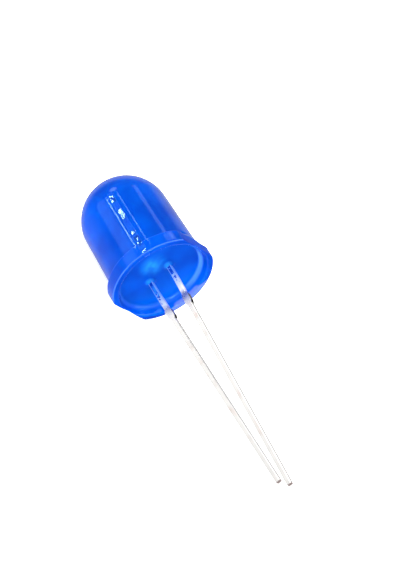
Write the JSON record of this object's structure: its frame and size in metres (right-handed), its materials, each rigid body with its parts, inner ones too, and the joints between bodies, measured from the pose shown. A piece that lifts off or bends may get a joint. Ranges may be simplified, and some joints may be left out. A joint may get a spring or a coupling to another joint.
{
  "type": "through hole led",
  "caption": "Round-top through hole LED with a blue diffused epoxy lens, a flange with two flats and a pair of square tinned leads, one longer; lights when driven.",
  "frame": {"origin": "middle of the lead row, on the lens axis, in the plane of the rim of the base that seats on a board", "axes": "+X along the lens axis towards the dome, -X along the leads, +Z along the lead row towards the anode. -Z is the cathode flat that the part lies on"},
  "size_m": [0.0407, 0.011, 0.0096],
  "materials": {
    "blue_epoxy": "cast gloss",
    "tinned_steel": "bright tin plate",
    "sapphire_die": "polished",
    "die_glue": "cured bead",
    "gold_wire": "drawn"
  },
  "bodies": {
    "root": {"epoxy_lens": "blue_epoxy", "anode_lead": "tinned_steel", "cathode_lead": "tinned_steel", "led_chip": "sapphire_die", "die_attach": "die_glue", "anode_bond_wire": "gold_wire", "cathode_bond_wire": "gold_wire"}
  },
  "joints": []
}
